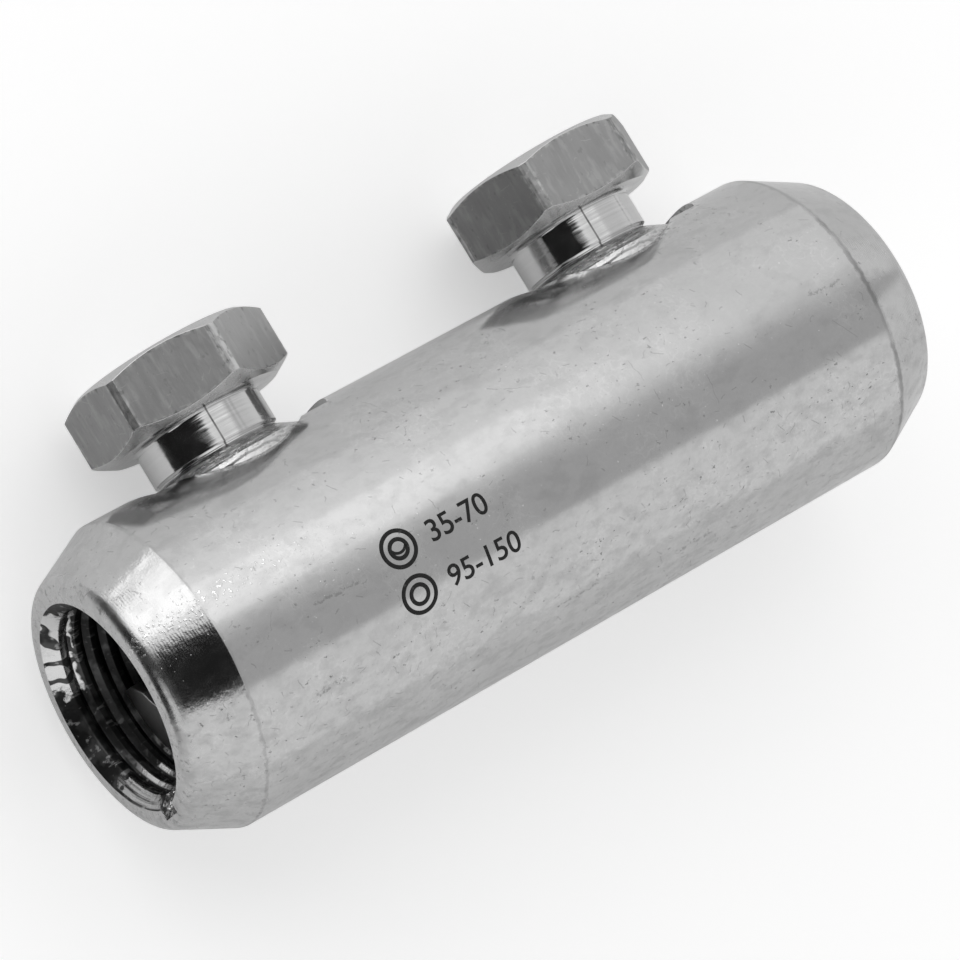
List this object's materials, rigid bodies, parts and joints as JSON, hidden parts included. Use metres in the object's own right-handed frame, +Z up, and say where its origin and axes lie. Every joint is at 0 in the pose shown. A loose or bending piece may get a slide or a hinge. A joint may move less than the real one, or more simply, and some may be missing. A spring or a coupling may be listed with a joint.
{
  "type": "mechanical screw connector",
  "caption": "In-line cable connector: a tinned metal sleeve bored from both ends, with shear-head clamping bolts and removable half-round reducing inserts.",
  "frame": {"origin": "on the surface the connector lies on, below the middle of its box", "axes": "+X along the sleeve, +Z up; the bolts point to +Y and a little down, as the connector comes to rest"},
  "size_m": [0.08, 0.0388, 0.028],
  "materials": {
    "sleeve": "bright tin plate, handled",
    "bolt": "drawn hex bar, turned neck",
    "insert": "tinned, satin"
  },
  "bodies": {
    "sleeve": {"connector_body": "sleeve"},
    "left_bolt": {"shear_bolt_left": "bolt"},
    "right_bolt": {"shear_bolt_right": "bolt"},
    "left_insert": {"insert_left": "insert"},
    "right_insert": {"insert_right": "insert"}
  },
  "joints": [
    {"name": "left_bolt_feed", "type": "slide", "parent": "sleeve", "child": "left_bolt", "axis": [0, 0.978, -0.2084], "range_m": [-0.004, 0.0035]},
    {"name": "left_insert_pull", "type": "slide", "parent": "sleeve", "child": "left_insert", "axis": [-1, 0, 0], "range_m": [0, 0.04]},
    {"name": "right_bolt_feed", "type": "slide", "parent": "sleeve", "child": "right_bolt", "axis": [0, 0.978, -0.2084], "range_m": [-0.004, 0.0035]},
    {"name": "right_insert_pull", "type": "slide", "parent": "sleeve", "child": "right_insert", "axis": [1, 0, 0], "range_m": [0, 0.04]}
  ]
}
